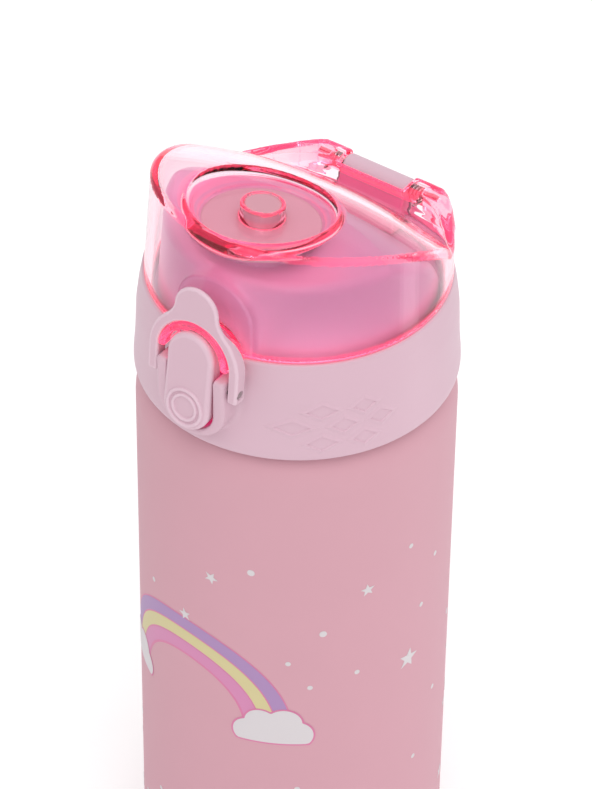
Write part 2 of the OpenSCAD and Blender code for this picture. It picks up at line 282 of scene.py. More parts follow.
def swept(name, path, r, flat, sides=16):
    """Round wire along a path, with domed ends."""
    path = np.asarray(path, float)
    t = np.gradient(path, axis=0)
    t /= np.linalg.norm(t, axis=1)[:, None]
    u = np.asarray(flat, float) - t * (t @ np.asarray(flat, float))[:, None]
    u /= np.linalg.norm(u, axis=1)[:, None]
    w = np.cross(t, u)
    a = np.linspace(0, 2 * math.pi, sides, endpoint=False)
    dome_steps = (0.2, 0.5, 0.8)
    rows = []
    for end, sign, steps in ((0, -1, dome_steps[::-1]), (len(path) - 1, 1, dome_steps)):
        dome = []
        for k in steps:
            q = r * math.sqrt(1 - k * k)
            dome.append(path[end] + sign * k * r * t[end]
                        + q * (np.outer(np.cos(a), u[end]) + np.outer(np.sin(a), w[end])))
        rows.append(dome)
    body = [p + r * (np.outer(np.cos(a), uu) + np.outer(np.sin(a), ww))
            for p, uu, ww in zip(path, u, w)]
    rings = rows[0] + body + rows[1]
    m = len(rings)
    verts = np.concatenate(rings + [[path[0] - r * t[0]], [path[-1] + r * t[-1]]])
    i, j = np.meshgrid(np.arange(m - 1), np.arange(sides), indexing="ij")
    j2 = (j + 1) % sides
    quads = np.stack([i * sides + j, i * sides + j2, (i + 1) * sides + j2, (i + 1) * sides + j],
                     -1).reshape(-1, 4)
    j = np.arange(sides)
    j2 = (j + 1) % sides
    first, last = m * sides, m * sides + 1
    caps = np.concatenate([np.stack([np.full(sides, first), j2, j], 1),
                           np.stack([np.full(sides, last), (m - 1) * sides + j,
                                     (m - 1) * sides + j2], 1)])
    me = bpy.data.meshes.new(name)
    me.from_pydata(in_metres(verts).tolist(), [], quads.tolist() + caps.tolist())
    me.validate()
    me.shade_smooth()
    return linked(name, me)


def on_round(along, height, r, per_radian):
    """Points on an upright round wall, from the distance round it, starting at the latch."""
    a = along / per_radian
    return np.stack(np.broadcast_arrays(r * np.sin(a), -r * np.cos(a), height), -1)


def joined(name, parts, radial=False):
    """One object from several closed shells of (points in millimetres, faces).

    radial shades it like the round wall that it lies on.
    """
    verts, faces, at = [], [], 0
    for pts, polys in parts:
        verts.append(pts)
        faces += [[at + i for i in poly] for poly in polys]
        at += len(pts)
    verts = np.concatenate(verts)
    me = bpy.data.meshes.new(name)
    me.from_pydata(in_metres(verts).tolist(), [], faces)
    me.validate()
    if radial:
        n = verts * [1, 1, 0]
        n /= np.linalg.norm(n, axis=1)[:, None]
        me.shade_smooth()
        me.normals_split_custom_set_from_vertices(n.astype(np.float32))
    return linked(name, me)


def paint(ob, mat):
    ob.data.materials.clear()
    ob.data.materials.append(mat)


def place(ob, body, mat, slot_name, *nodes):
    """Gives a piece its material and its body, and hides the CAD nodes that it stands for. The slot is
    not used.
    """
    paint(ob, mat)
    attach(ob, body)
    if nodes:
        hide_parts(*nodes)


# ---------------------------------------------------------------- dimensions

# Millimetres and degrees. The latch is towards -Y and the hinge towards +Y.
BOTTLE_R = 35.0
COLLAR_INSIDE_R = 32.05
SEAM = 24.4                         # where the lid rests on the collar

# The lid is a leaning cone under a top that is barrelled in both directions.
LID_Y, LID_R, LID_TILT, LID_DRAFT, LID_WALL = 0.3, 32.9, 2.5, 2.5, 1.8
BARREL_Y, BARREL_Z, BARREL_R, BARREL_BOW = -22.4, -2.4, 54.3, 125.0
SLAB_Z = 32.0                       # the low flat back of the lid, with the hinge housings
LID_RIM_Z = 24.65

# The round recess over the spout, measured in its own leaning frame
SPOUT_Y, RECESS_Z, RECESS_TILT, RECESS_R, RECESS_WALL = -13.4, 46.3, 7.7, 14.4, 1.6
RECESS_FLARE = 0.42
RECESS_SIDE_WALL = 1.2
BOSS_R, BOSS_H = 4.75, 3.3
STEM_R, STEM_H = 3.9, 3.1
SEAL_R, SEAL_THICK, SEAL_GAP = 12.7, 1.6, 0.25

HINGE_Y, HINGE_Z, HINGE_BORE_R = 30.2, 28.6, 0.95
KNUCKLE_HALF, LUG_END = 8.3, 17.2
PIN_Y, PIN_Z, PIN_BORE_R = -36.7, 19.3, 0.85
BUTTON_LEAN, BAIL_LEAN = 8.0, 5.0
BUTTON_SLOT_R, BUTTON_SLOT_FOOT = 5.95, 6.8
LEVER_R, LEVER_FOOT = 5.5, 7.7
SPRING_Z = 10.8                     # the button's coil spring
SPRING_WIRE_R, SPRING_COIL_R = 0.3, 1.6


# ---------------------------------------------------------------- materials

def srgb(r, g, b):
    """A shader colour from 0-255 screen values."""
    return tuple(((c / 255 + 0.055) / 1.055) ** 2.4 for c in (r, g, b))


CLOUD_SCALE, GRAIN_SCALE = 60.0, 900.0
GRAIN_DEPTH = 0.0002


def remap(nt, value, **ends):
    """The value through a Map Range node with the given ends."""
    node = nt.nodes.new("ShaderNodeMapRange")
    for key, end in ends.items():
        node.inputs[key.replace("_", " ")].default_value = end
    nt.links.new(value, node.inputs["Value"])
    return node.outputs["Result"]


def material(name, colour, rough, mottle=0.02, grain=0.03, painted_tone=None, painted_glow=None, **inputs):
    """Principled material with faint moulded mottling in colour and gloss, and a fine bump.

    Where the mesh's painted light or shade rises to 1, the colour turns to the painted tone and the
    surface gives off painted glow.
    """
    m = bpy.data.materials.new(name)
    m.use_nodes = True
    nt = m.node_tree
    link = nt.links.new
    bsdf = nt.nodes["Principled BSDF"]
    coord = nt.nodes.new("ShaderNodeTexCoord")
    cloud = nt.nodes.new("ShaderNodeTexNoise")
    cloud.inputs["Scale"].default_value = CLOUD_SCALE
    cloud.inputs["Detail"].default_value = 3.0
    link(coord.outputs["Object"], cloud.inputs["Vector"])
    ramp = nt.nodes.new("ShaderNodeMix")
    ramp.data_type = "RGBA"
    ramp.inputs["A"].default_value = (*[c * (1 - mottle) for c in colour], 1)
    ramp.inputs["B"].default_value = (*[min(1, c * (1 + mottle)) for c in colour], 1)
    link(cloud.outputs["Fac"], ramp.inputs["Factor"])
    shade = ramp.outputs["Result"]
    # painted light or shade: the stored amount shifts the colour to the painted tone and adds the
    # painted glow as emission
    if painted_tone:
        level = nt.nodes.new("ShaderNodeAttribute")
        level.attribute_name = "painted_lighting"
        turn = nt.nodes.new("ShaderNodeMix")
        turn.data_type = "RGBA"
        turn.inputs["B"].default_value = (*painted_tone, 1)
        link(level.outputs["Fac"], turn.inputs["Factor"])
        link(shade, turn.inputs["A"])
        shade = turn.outputs["Result"]
        light = nt.nodes.new("ShaderNodeMix")
        light.data_type = "RGBA"
        light.inputs["A"].default_value = (0, 0, 0, 1)
        light.inputs["B"].default_value = (*painted_glow, 1)
        link(level.outputs["Fac"], light.inputs["Factor"])
        link(light.outputs["Result"], bsdf.inputs["Emission Color"])
        bsdf.inputs["Emission Strength"].default_value = 1.0
    link(shade, bsdf.inputs["Base Color"])
    gloss = remap(nt, cloud.outputs["Fac"], To_Min=rough * 0.92, To_Max=min(1, rough * 1.08))
    link(gloss, bsdf.inputs["Roughness"])
    if grain:
        fine = nt.nodes.new("ShaderNodeTexNoise")
        fine.inputs["Scale"].default_value = GRAIN_SCALE
        fine.inputs["Detail"].default_value = 2.0
        link(coord.outputs["Object"], fine.inputs["Vector"])
        bump = nt.nodes.new("ShaderNodeBump")
        bump.inputs["Strength"].default_value = grain
        bump.inputs["Distance"].default_value = GRAIN_DEPTH
        link(fine.outputs["Fac"], bump.inputs["Height"])
        link(bump.outputs["Normal"], bsdf.inputs["Normal"])
    for key, value in inputs.items():
        bsdf.inputs[key.replace("_", " ")].default_value = value
    return m


frosted = material("frosted_pink", srgb(209, 159, 171), 0.55, grain=0.05, Specular_IOR_Level=0.2)
PALE = srgb(212, 177, 191)
# Its painted tone and glow are a painted highlight on sharp edges, lighter with a faint emission.
pale = material("pale_pink_satin", PALE, 0.42, mottle=0.015,
                painted_tone=srgb(224, 196, 208), painted_glow=(0.03, 0.022, 0.026), Specular_IOR_Level=0.35)
# Its painted tone and glow are a painted red glow in the gaps round the button and under the hinge.
collar_pale = material("collar_pale_pink", PALE, 0.42, mottle=0.015,
                       painted_tone=srgb(232, 110, 160), painted_glow=(0.22, 0.012, 0.06),
                       Specular_IOR_Level=0.35)
# Its painted tone and glow are a painted pink glow on the cap under the lid.
cap_pink = material("cap_pink", srgb(230, 158, 202), 0.30, grain=0.02,
                    painted_tone=srgb(252, 160, 206), painted_glow=(0.13, 0.11, 0.15))
# Its painted tone is painted shade, darker, on the seal stem's bare top.
rubber = material("grey_pink_silicone", srgb(226, 187, 202), 0.55, mottle=0.03, grain=0.04,
                  painted_tone=srgb(206, 146, 160), painted_glow=(0, 0, 0))
gasket_mat = material("white_silicone", srgb(232, 226, 226), 0.5, grain=0.04)
steel = material("drawn_steel", (0.40, 0.39, 0.38), 0.22, mottle=0.05, grain=0.02, Metallic=1.0)
inks = {name: material("print_" + name, srgb(*rgb), 0.5, grain=0.05)
        for name, rgb in (("white", (212, 205, 208)), ("pink", (208, 132, 174)),
                          ("line", (212, 120, 160)), ("purple", (168, 132, 180)),
                          ("yellow", (208, 196, 146)))}

# Painted glow: the clear plastic's edges are painted redder and give off red light, for the light that
# the dyed plastic gathers there.
clear = material("clear_pink_plastic", (1.0, 0.985, 0.99), 0.02, mottle=0.0, grain=0.0,
                 painted_tone=(1.0, 0.26, 0.36), painted_glow=(0.85, 0.05, 0.12),
                 IOR=1.32, Transmission_Weight=1.0)
absorb = clear.node_tree.nodes.new("ShaderNodeVolumeAbsorption")
absorb.inputs["Color"].default_value = (0.99, 0.24, 0.52, 1)
absorb.inputs["Density"].default_value = 75.0
clear.node_tree.links.new(absorb.outputs["Volume"],
                          clear.node_tree.nodes["Material Output"].inputs["Volume"])


# ---------------------------------------------------------------- lid

def cone(x, y, z, foot_r, draft):
    """Leaning round wall that narrows upwards from the seam."""
    yl, zl = lean(y, z, LID_Y, SEAM, LID_TILT)
    return (np.hypot(x, yl) - (foot_r - zl * math.tan(rad(draft)))) * math.cos(rad(draft))


def barrel(x, y, z, inset):
    """Domed top, bowed less across than from front to back."""
    rho = np.hypot(y - BARREL_Y, z - BARREL_Z)
    return np.hypot(rho + BARREL_BOW - BARREL_R, x) - (BARREL_BOW - inset)


def lid_form(x, y, z, inset, edge, valley):
    """The lid's whole form, or its hollow when inset."""
    top = either(barrel(x, y, z, inset), z - (SLAB_Z - inset), valley)
    return both(cone(x, y, z, LID_R - inset, LID_DRAFT), top, edge)


# Outline of the hinge housings, seen from above
HOUSING = [(11.8, 33.1), (15.2, 33.0), (17, 31.8), (20, 28.8), (23.8, 24.1), (26, 20)]
HOUSING = HOUSING + [(-a, b) for a, b in HOUSING[::-1]]


def catch_arch(x, y, z):
    """Hood round the top of the button, with the ledge that the hook reaches under."""
    yl, zl = lean(y, z, PIN_Y, PIN_Z, BAIL_LEAN)
    outer = slot(x, zl, 8.75, -10, 13.45)
    inner = slot(x, zl, 7.1, -10, 11.8)
    front, foot = -2.45 + 0.085 * zl, 22.3
    hood = both(less(outer, inner, 0.3), np.maximum(front - yl, yl - 6), 0.4)
    hood = both(hood, foot - z, 0.3)
    ledge = both(slab(y, -34.2, -31), slab(z, 26.3, 27.8), 0.2)
    ledge = both(ledge, slot(x, z, 7.7, 4, 31.7))
    return np.minimum(hood, ledge)


def recess_frame(x, y, z):
    """Distance from the recess's leaning axis, and height along it from the recess's floor."""
    yr, zr = lean(y, z, SPOUT_Y, RECESS_Z, RECESS_TILT)
    return np.hypot(x, yr), zr


def recess_side(rr, zr):
    """Distance outward from the recess's flared side."""
    return (rr - RECESS_R - RECESS_FLARE * zr) * math.cos(math.atan(RECESS_FLARE))


def lid_shape(x, y, z):
    """Hollow lid with its hinge housings, the recess and boss, and the catch's hood."""
    outer = lid_form(x, y, z, 0, 1.1, 1.2)
    house = both(polygon(x, y, HOUSING), slab(z, 25.4, SLAB_Z), 2.0)
    outer = either(outer, house, 0.6)
    rr, zr = recess_frame(x, y, z)
    side = recess_side(rr, zr)
    well = both(side - RECESS_SIDE_WALL, -RECESS_WALL - zr, 1.6)
    hollow = less(lid_form(x, y, z, LID_WALL, 0.5, 1.5), well, 1.2)
    shell = less(outer, hollow)
    dish = both(side, -zr, 1.6)
    shell = less(shell, dish, 0.4)
    boss = both(rr - BOSS_R, slab(zr, -0.5, BOSS_H), 0.4)
    shell = either(shell, boss, 0.9)
    stem_hole = both(rr - STEM_R - 0.05, slab(zr, -3, 8), 0.1)
    shell = less(shell, stem_hole, 0.2)
    arch = less(catch_arch(x, y, z), lid_form(x, y, z, LID_WALL / 2, 0.5, 1.5))
    shell = either(shell, arch, 0.3)
    # room for the knuckle, the springs and their legs, the pin, and the collar as the lid swings
    notch = both(np.abs(x) - KNUCKLE_HALF - 0.3, 26.4 - y, 0.3)
    shell = less(shell, notch, 0.3)
    shell = less(shell, bar(x, y, z, 2.2, -12, 12, HINGE_Y, HINGE_Z, 0.1), 0.1)
    under = both(np.abs(x) - 12, both(slab(y, HINGE_Y - 5, HINGE_Y), z - 30.2), 0.1)
    shell = less(shell, under, 0.1)
    shell = less(shell, bar(x, y, z, HINGE_BORE_R, -15.6, 15.6, HINGE_Y, HINGE_Z, 0.05))
    swing = both(both(np.abs(x) - LUG_END, 27 - y), z - 25.4)
    shell = less(shell, swing, 0.2)
    return both(shell, LID_RIM_Z - z, 0.35)


def lid_painted_glow(p):
    """Painted red glow, strongest on outward edges, round the catch and along the bottom rim.

    The recess's side glows more on the side that faces front and right.
    """
    x, y, z = p.T
    yr, zr = lean(y, z, SPOUT_Y, RECESS_Z, RECESS_TILT)
    rr = np.hypot(x, yr)
    edge = smooth(bend(lid_shape, p), 0.3, 1.2)
    rim = smooth(z, LID_RIM_Z + 0.25, LID_RIM_Z + 0.05)
    hood = smooth(y, -34.8, -36.0) * smooth(z, 34.5, 33.5) * (0.25 + 0.55 * edge)
    corner = 0.3 * smooth(y, 26, 28) * smooth(np.abs(x), 10, 12)
    floor = 0.08 * smooth(rr, 13.8, 13.2) * smooth(np.abs(zr), 1.0, 0.5)
    side = recess_side(rr, zr)
    near = smooth(0.45 * x - 0.9 * yr, -1, 7)
    dish = 0.55 * near * smooth(np.abs(side), 0.7, 0.3) * smooth(zr, -0.4, 0.3)
    under = smooth(np.abs(side - RECESS_SIDE_WALL), 0.5, 0.2) * smooth(rr, 13, 14) * (zr < 4.5)
    under = (0.25 + 0.3 * near) * under
    return np.maximum.reduce([0.9 * edge, 0.85 * rim, hood, corner, floor, dish, under])


lid = skin("lid", lid_shape, (-34, -39, 22), (34, 34.2, 53), 0.45, lid_painted_glow)
place(lid, "lid", clear, "clear_pink", "lid_shell")


# ---------------------------------------------------------------- collar

# Outside of the collar (height, radius), and the hinge knuckle's foot (y, z)
COLLAR_R = [(0, 34.95), (0.5, 35.15), (1.2, 35.25), (2.4, 35.22), (7.7, 34.8), (15.3, 34.5),
            (16.2, 34.42), (20.3, 33.9), (24.4, 33.15)]
KNUCKLE_FOOT = [(33.1, 21.8), (33.1, 28.6), (27.3, 28.6), (26.6, 25.8), (24.2, 22.4), (24.2, 21.8)]


def collar_r(z):
    """Outside radius of the collar at a height."""
    zs, rs = np.array(COLLAR_R).T
    return np.interp(z, zs, rs)


def collar_shape(x, y, z):
    """Ring with a ledge for the lid, the ears beside the button, and the hinge knuckle."""
    r = np.hypot(x, y)
    wall = both(r - collar_r(z), slab(z, 0, SEAM), 0.5)
    ring = both(r - 33, both(30.6 - r, slab(z, 21, SEAM), 0.3), 0.3)
    wall = np.minimum(both(wall, COLLAR_INSIDE_R - r, 0.3), both(ring, wall))
    ears = both(slot(x, z, 8.6, 5.0, 40), both(slab(y, -39.2, -30), z - 22.1, 1.0), 0.9)
    ears = both(ears, COLLAR_INSIDE_R - r)
    d = melt(wall, ears, 1.6)
    gap = both(slot(x, z, BUTTON_SLOT_R, BUTTON_SLOT_FOOT, 40), slab(y, -45, -33), 0.2)
    d = less(d, gap, 0.3)
    hinge_room = both(both(np.abs(x) - LUG_END, 24 - y, 0.4), 22.8 - z, 0.2)
    d = less(d, hinge_room, 0.4)
    knuckle = bar(x, y, z, 3.0, -KNUCKLE_HALF, KNUCKLE_HALF, HINGE_Y, HINGE_Z, 0.5)
    foot = both(np.abs(x) - KNUCKLE_HALF, polygon(y, z, KNUCKLE_FOOT), 0.5)
    d = either(d, np.minimum(knuckle, foot), 0.4)
    d = less(d, bar(x, y, z, HINGE_BORE_R, -9, 9, HINGE_Y, HINGE_Z, 0.05))
    return less(d, bar(x, y, z, PIN_BORE_R, -9.5, 9.5, PIN_Y, PIN_Z, 0.05))


def collar_painted_glow(p):
    """Painted red glow, for red light from the lid, in the gaps round the button and under the hinge.
    """
    x, y, z = p.T
    gap = smooth(slot(x, z, 6.0, BUTTON_SLOT_FOOT, 40), 0.45, 0.1)
    gap = gap * smooth(y, -38.9, -37.6) * smooth(y, -30, -31)
    under_hinge = 0.8 * smooth(y, 21.5, 23) * smooth(z, 21, 22) * smooth(z, 28.5, 27.5)
    return np.maximum(gap, under_hinge)


collar = skin("collar", collar_shape, (-36, -40, -0.7), (36, 36, 32.2), 0.5, collar_painted_glow)
place(collar, "cap", collar_pale, "collar_plastic", "collar_ring")

# Raised outlines of diamonds: distance round the collar from the latch, height, half width
DIAMONDS = [(20.1, 8.9, 4.35), (26.4, 13.0, 3.7), (26.4, 4.7, 3.7), (31.1, 8.9, 3.1),
            (35.6, 13.0, 2.9), (35.6, 4.7, 2.9), (39.5, 8.9, 2.9)]


def diamond(along, height, half):
    """Closed ridge round a diamond: a gentle slope outside, a steep one inside."""
    tall, per_side, wall_r = 1.93, 12, 34.7
    ridge, sunk, root = 0.24, -0.03, -0.3
    corners = np.array([(half, 0), (0, tall), (-half, 0), (0, -tall)])
    t = np.arange(per_side)[:, None] / per_side
    line = np.concatenate([a + t * (b - a) for a, b in zip(corners, np.roll(corners, -1, 0))])
    grow = math.hypot(1 / half, 1 / tall)
    rows = []
    for out, lift in ((0.9, sunk), (0.12, ridge), (-0.12, ridge), (-0.35, sunk), (0.2, root)):
        u, v = (line * (1 + out * grow)).T
        rows.append(on_round(along + u, height + v, collar_r(height + v) + lift, wall_r))
    n, m = len(line), len(rows)
    j, i = np.meshgrid(np.arange(m), np.arange(n), indexing="ij")
    j2, i2 = (j + 1) % m, (i + 1) % n
    quads = np.stack([j * n + i, j * n + i2, j2 * n + i2, j2 * n + i], -1).reshape(-1, 4)
    return np.concatenate(rows), quads.tolist()


relief = joined("collar_diamonds", [diamond(*d) for d in DIAMONDS])
place(relief, "cap", pale, "collar_plastic")


# ---------------------------------------------------------------- inner cap

def turret_shape(x, y, z, inset, edge):
    """The cap's dome under the lid, or its hollow when inset."""
    top = np.maximum(barrel(x, y, z, 4.8 + inset), z - (41.2 - inset))
    return both(cone(x, y, z, 29.7 - inset, 3), top, edge)


def cap_shape(x, y, z):
    """Skirt, flange and dome, with the pad behind the catch and the rim of the spout."""
    r = np.hypot(x, y)
    rr, zr = recess_frame(x, y, z)
    low = -RECESS_WALL - SEAL_THICK - SEAL_GAP
    skirt = both(both(r - 27.3, 25.1 - r, 0.3), slab(z, 3.9, 20), 0.4)
    flange = both(r - 32, slab(z, 19, 21), 0.3)
    dome = both(turret_shape(x, y, z, 0, 2.2), 19.5 - z)
    rim = both(rr - 9.4, slab(zr, low - 2.6, low), 0.5)
    pad = both(slot(x, z, 9.5, 4, 40.5), slab(y, -29.8, -20), 0.8)
    d = either(np.minimum(skirt, flange), dome, 0.8)
    d = melt(d, pad, 1.2)
    d = either(d, rim, 0.5)
    d = less(d, both(r - 21.3, slab(z, 17, 21.5)))
    d = less(d, both(turret_shape(x, y, z, 1.8, 1.0), 20.5 - z))
    return less(d, both(rr - 7.5, slab(zr, low - 10, low + 3)), 0.4)


def cap_painted_glow(p):
    """Painted glow, for light the cap takes up from the lid: low in front, up the pad and on its left.
    """
    painted_tone = 0.7 * smooth(p[:, 0], -13, -24)
    for centre, spread, most in (([4, -30, 27], [11, 12, 12], 1.0),
                                 ([19, -22, 25], [15, 15, 8], 0.75),
                                 ([3, -30, 38], [10, 5, 6], 0.8)):
        far = np.linalg.norm((p - centre) / spread, axis=1)
        painted_tone = np.maximum(painted_tone, most * np.exp(-far ** 2))
    return painted_tone


cap = skin("inner_cap_moulding", cap_shape, (-33, -33, 3.2), (33, 33, 43), 0.6, cap_painted_glow)
place(cap, "cap", cap_pink, "cap_plastic", "inner_cap")


# ---------------------------------------------------------------- seal

def seal_shape(x, y, z):
    """Disc under the recess, with a stem up through the boss."""
    rr, zr = recess_frame(x, y, z)
    disc = both(rr - SEAL_R, slab(zr, -RECESS_WALL - SEAL_THICK, -RECESS_WALL - 0.06), 0.4)
    stem = both(rr - STEM_R, slab(zr, -RECESS_WALL - 0.5, STEM_H), 0.25)
    return either(disc, stem, 0.05)


def seal_painted_shade(p):
    """Painted shade: the stem's bare top, lit more than the disc under the clear plastic, is painted
    darker.
    """
    zr = recess_frame(*p.T)[1]
    return smooth(zr, 2.0, 2.6)


seal = skin("seal", seal_shape, (-14, -27, 42), (14, 2, 50.5), 0.35, seal_painted_shade)
place(seal, "lid", rubber, "silicone", "lid_seal")


# ---------------------------------------------------------------- latch

def button_shape(x, y, z):
    """Leaning plate with two raised rings, on an upright lever with the hook at its top."""
    yl, zl = lean(y, z, PIN_Y, PIN_Z, BUTTON_LEAN)
    plate = both(slot(x, zl, 5.7, -11.9, 11.4), slab(yl, -3.3, -1.1), 1.0)
    mark = np.hypot(x, zl + 6.4)
    for ring_r in (4.2, 2.9):
        plate = melt(plate, np.hypot(mark - ring_r, yl + 3.35) - 0.42, 0.25)
    low = both(slot(x, z, LEVER_R, LEVER_FOOT, 20.7), slab(y, -39.6, -34.9), 0.3)
    middle = both(slot(x, z, LEVER_R, LEVER_FOOT, 23.8), slab(y, -37.9, -34.9), 0.3)
    high = both(slot(x, z, LEVER_R, LEVER_FOOT, 29.5), slab(y, -37.9, -35.6), 0.3)
    hook = both(slot(x, z, LEVER_R, 16, 29.5), both(slab(y, -37.9, -34.4), 28.1 - z, 0.2), 0.3)
    d = np.minimum.reduce([plate, low, middle, high, hook])
    d = less(d, bar(x, y, z, PIN_BORE_R, -7, 7, PIN_Y, PIN_Z, 0.05))
    pocket = both(np.hypot(x, z - SPRING_Z) - 2.3, slab(y, -37.8, -33), 0.1)
    return less(d, pocket, 0.2)


button = skin("button", button_shape, (-6.5, -42.5, 6.5), (6.5, -33.8, 32), 0.22,
              painted_edge_highlight(button_shape))
place(button, "button", pale, "collar_plastic", "latch_button")


def bail_shape(x, y, z):
    """Arch with a thumb tab, deeper at its feet, which turn on the latch pin."""
    yl, zl = lean(y, z, PIN_Y, PIN_Z, BAIL_LEAN)
    outline = either(slot(x, zl, 11.3, -40, 16.0), slot(x, zl, 5.4, 1, 22.3), 2.2)
    ring = less(outline, slot(x, zl, 8.95, -40, 13.65), 0.45)
    deep = smooth(np.abs(x), 6.0, 9.0) * smooth(zl, 17.5, 6.5)
    d = both(ring, np.maximum(-1.6 - yl, yl - (-0.4 + 2.0 * deep)), 0.55)
    d = both(d, -2.2 - zl, 0.8)
    d = less(d, bar(x, y, z, PIN_BORE_R, -12, 12, PIN_Y, PIN_Z, 0.05))
    return less(d, bar(np.abs(x), y, z, PIN_BORE_R + 0.2, 10.9, 12, PIN_Y, PIN_Z, 0.05))


bail = skin("bail", bail_shape, (-12, -39.2, 16.2), (12, -33.4, 42.4), 0.25, painted_edge_highlight(bail_shape))
place(bail, "bail", pale, "collar_plastic", "lock_bail")


# ---------------------------------------------------------------- bottle

def arc(cx, cz, r, a0, a1, n):
    """Points of an outline on part of a circle."""
    a = np.radians(np.linspace(a0, a1, n))
    return [(cx + r * math.cos(t), cz + r * math.sin(t)) for t in a]


BASE = -COLLAR_Z
AXIS_R = 0.02                       # the outline stops this near the axis
NECK_R, BORE_R, NECK_TOP, LIP_R = 23.4, 21.3, 16.4, 0.6
SHOULDER_R, SHOULDER_Z, BOTTLE_WALL = 13, -9.5, 2
under_base = ([(AXIS_R, BASE + 2.5), (19.5, BASE + 2.5)] + arc(19.5, BASE + 1.0, 1.5, 90, 20, 6)
              + arc(22.2, BASE + 1.0, 1.0, 200, 270, 6))
outside = (arc(BOTTLE_R - 6, BASE + 6, 6, -90, 0, 20)
           + [(BOTTLE_R, z) for z in np.linspace(BASE + 8, -10, 60)]
           + arc(BOTTLE_R - SHOULDER_R, SHOULDER_Z, SHOULDER_R, 0, 88, 30))
neck = ([(NECK_R, 3.6), (NECK_R, NECK_TOP)] + arc(NECK_R - LIP_R, NECK_TOP, LIP_R, 0, 90, 4)
        + arc(BORE_R + LIP_R, NECK_TOP, LIP_R, 90, 180, 4) + [(BORE_R, 3.5)])
inside = (arc(BOTTLE_R - SHOULDER_R, SHOULDER_Z, SHOULDER_R - BOTTLE_WALL, 90, 0, 20)
          + [(BOTTLE_R - BOTTLE_WALL, z) for z in np.linspace(-12, BASE + 10, 30)]
          + arc(BOTTLE_R - 6, BASE + 8.5, 4, 0, -90, 12) + [(AXIS_R, BASE + 4.5)])
bottle = turned("bottle", under_base + outside + neck + inside)
place(bottle, "bottle", frosted, "frosted_body", "bottle_body")

# ---------------------------------------------------------------- print

INK = 0.05


def on_wall(u, v, lift):
    """Points on the bottle's wall, from the distance round it and the height above its base."""
    return on_round(u, v - COLLAR_Z, BOTTLE_R + lift, BOTTLE_R)


def patch(along, height, outline, lift=INK):
    """Thin closed solid on the wall whose outline is seen whole from its middle."""
    outline = np.asarray(outline, float)
    n = len(outline)
    rings = max(2, math.ceil(np.abs(outline).max() / 1.2))
    pts, faces = [], []
    for side, level in enumerate((lift, -INK)):
        first = side * (1 + rings * n)
        pts.append(on_wall(np.array([along]), np.array([height]), level))
        for k in range(1, rings + 1):
            u, v = outline.T * k / rings
            pts.append(on_wall(along + u, height + v, level))
        for i in range(n):
            i2 = (i + 1) % n
            fan = [first, first + 1 + i, first + 1 + i2]
            cells = [[first + 1 + k * n + i, first + 1 + (k + 1) * n + i,
                      first + 1 + (k + 1) * n + i2, first + 1 + k * n + i2] for k in range(rings - 1)]
            for face in [fan] + cells:
                faces.append(face[::-1] if side else face)
    top, low = 1 + (rings - 1) * n, 1 + rings * n + 1 + (rings - 1) * n
    faces += [[top + i, low + i, low + (i + 1) % n, top + (i + 1) % n] for i in range(n)]
    return np.concatenate(pts), faces


def stripe(along, height, r_out, r_in, start, end, lift=INK):
    """Thin closed band on the wall, part of a ring round (along, height)."""
    n, m = 90, 1 + max(1, math.ceil((r_out - r_in) / 1.5))
    a = np.radians(np.linspace(start, end, n))[:, None]
    r = np.linspace(r_in, r_out, m)[None, :]
    u, v = along + r * np.cos(a), height + r * np.sin(a)
    top, low = (on_wall(u, v, level).reshape(-1, 3) for level in (lift, -INK))
    faces = []
    for i in range(n - 1):
        for j in range(m - 1):
            cell = [i * m + j, i * m + j + 1, (i + 1) * m + j + 1, (i + 1) * m + j]
            faces += [cell, [n * m + k for k in cell[::-1]]]
    edge = ([i * m for i in range(n)] + [(n - 1) * m + j for j in range(1, m)]
            + [i * m + m - 1 for i in range(n - 2, -1, -1)] + [j for j in range(m - 2, 0, -1)])
    for p, q in zip(edge, edge[1:] + edge[:1]):
        faces.append([p, q, n * m + q, n * m + p])
    return np.concatenate([top, low]), faces


def star(size, twist):
    """Outline of a star with five points."""
    a = np.radians(np.arange(10) * 36 + 90 + twist)
    r = np.where(np.arange(10) % 2 == 0, size, 0.42 * size)
    return np.stack([r * np.cos(a), r * np.sin(a)], 1)


def dot(size):
    """Round outline."""
    a = np.linspace(0, 2 * math.pi, 20, endpoint=False)
    return size * np.stack([np.cos(a), np.sin(a)], 1)


# Each puff of a cloud: middle across and up, radius
PUFFS = [(0, 0.3, 4.6), (-4.6, -1.0, 3.5), (4.8, -0.9, 3.7), (-2.3, 2.2, 3.3), (2.6, 2.4, 3.6)]


def cloud_outline(size, margin=0.0):
    """Outline of overlapping puffs with a flat base, from rays out of its middle."""
    a = np.linspace(0, 2 * math.pi, 96, endpoint=False)
    dx, dy = np.cos(a), np.sin(a)
    reach = np.zeros_like(a)
    for cx, cy, r in PUFFS:
        near = cx * dx + cy * dy
        room = (r + margin) ** 2 - (cx * cx + cy * cy - near * near)
        reach = np.maximum(reach, near + np.sqrt(np.maximum(room, 0)) * (room > 0))
    base = (3.4 + margin) / np.maximum(-dy, 1e-3)
    reach = np.minimum(reach, base)
    return size * np.stack([reach * dx, reach * dy], 1)


# distance round the wall from the latch, height above the base, size
STARS = [(2.2, 119.5, 1.75), (-5.2, 104.3, 1.75), (37.7, 117.6, 1.75), (49.7, 90.2, 2.9)]
DOTS = [(-17, 105.9, 0.62), (11.7, 124.6, 0.85), (20, 98.6, 0.62), (49.3, 124.4, 0.62),
        (58.8, 115.3, 0.62), (53.6, 103.9, 0.62), (35.6, 93.6, 0.62), (24.9, 91.2, 0.62),
        (60.3, 72.9, 0.62), (27.6, 107.3, 0.85)]
RAINBOWS = [(-5.0, 77.0, 26.0), (105.0, 80.0, 24.0)]
